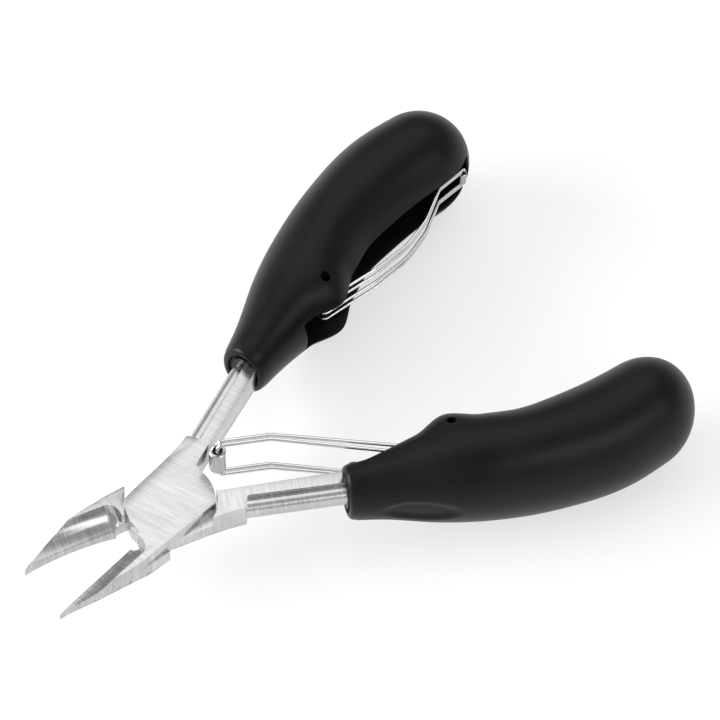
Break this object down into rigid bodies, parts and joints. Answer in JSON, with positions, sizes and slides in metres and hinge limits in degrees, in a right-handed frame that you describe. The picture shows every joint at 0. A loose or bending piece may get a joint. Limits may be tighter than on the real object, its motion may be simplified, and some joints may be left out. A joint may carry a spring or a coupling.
{
  "type": "nail nipper",
  "caption": "Heavy toenail nipper with lapped hollow-ground jaws, padded hand grips, a sleeved wire opening spring and a wire bow in one grip.",
  "frame": {"origin": "pivot axis at the underside of the lap joint", "axes": "+Z along the pivot axis, up through the joint; -X to the jaws, +X to the handles; +Y to the right half's handle"},
  "size_m": [0.1255, 0.092, 0.0261],
  "materials": {
    "steel": "brushed, with fine grinding lines",
    "soft_touch": "matt soft-touch, fine grain",
    "core_plastic": "moulded, matt",
    "pin_steel": "dark drawn pin",
    "spring_wire": "polished spring wire",
    "roller_steel": "turned tube"
  },
  "bodies": {
    "left_half": {"left_lever": "steel", "pivot_rivet": "steel", "left_grip": "soft_touch", "left_core": "core_plastic", "left_spring_pin": "pin_steel"},
    "right_half": {"right_lever": "steel", "right_grip": "soft_touch", "right_core": "core_plastic", "right_spring_pin": "pin_steel"},
    "front_spring": {"front_wire_near": "spring_wire", "front_wire_far": "spring_wire"},
    "front_roller": {"front_roller": "roller_steel"},
    "rear_spring": {"rear_wire_outer": "spring_wire", "rear_wire_inner": "spring_wire"},
    "rear_sleeve": {"rear_sleeve": "roller_steel"}
  },
  "joints": [
    {"name": "main_pivot", "type": "hinge", "parent": "left_half", "child": "right_half", "pos_m": [0, 0, 0.00315], "axis": [0, 0, -1], "range_deg": [-10, 22.2], "stiffness_Nm_per_rad": 0.25},
    {"name": "front_spring_swing", "type": "hinge", "parent": "left_half", "child": "front_spring", "pos_m": [0.051, -0.0201, 0.00315], "axis": [0, 0, 1], "range_deg": [-4.5, 9.5]},
    {"name": "front_roller_spin", "type": "hinge", "parent": "front_spring", "child": "front_roller", "pos_m": [0.01365, 0.00377, 0.00315], "axis": [0, 0, 1], "continuous": true},
    {"name": "rear_spring_flex", "type": "hinge", "parent": "right_half", "child": "rear_spring", "pos_m": [0.051, 0.0201, 0.00315], "axis": [0, 0, 1], "range_deg": [0, 3.5], "stiffness_Nm_per_rad": 0.05},
    {"name": "rear_sleeve_spin", "type": "hinge", "parent": "rear_spring", "child": "rear_sleeve", "pos_m": [0.0912, 0.0284, 0.00315], "axis": [0, 0, 1], "continuous": true}
  ],
  "couplings": [
    {"joint": "front_spring_swing", "follows": "main_pivot", "ratio": 0.41}
  ]
}
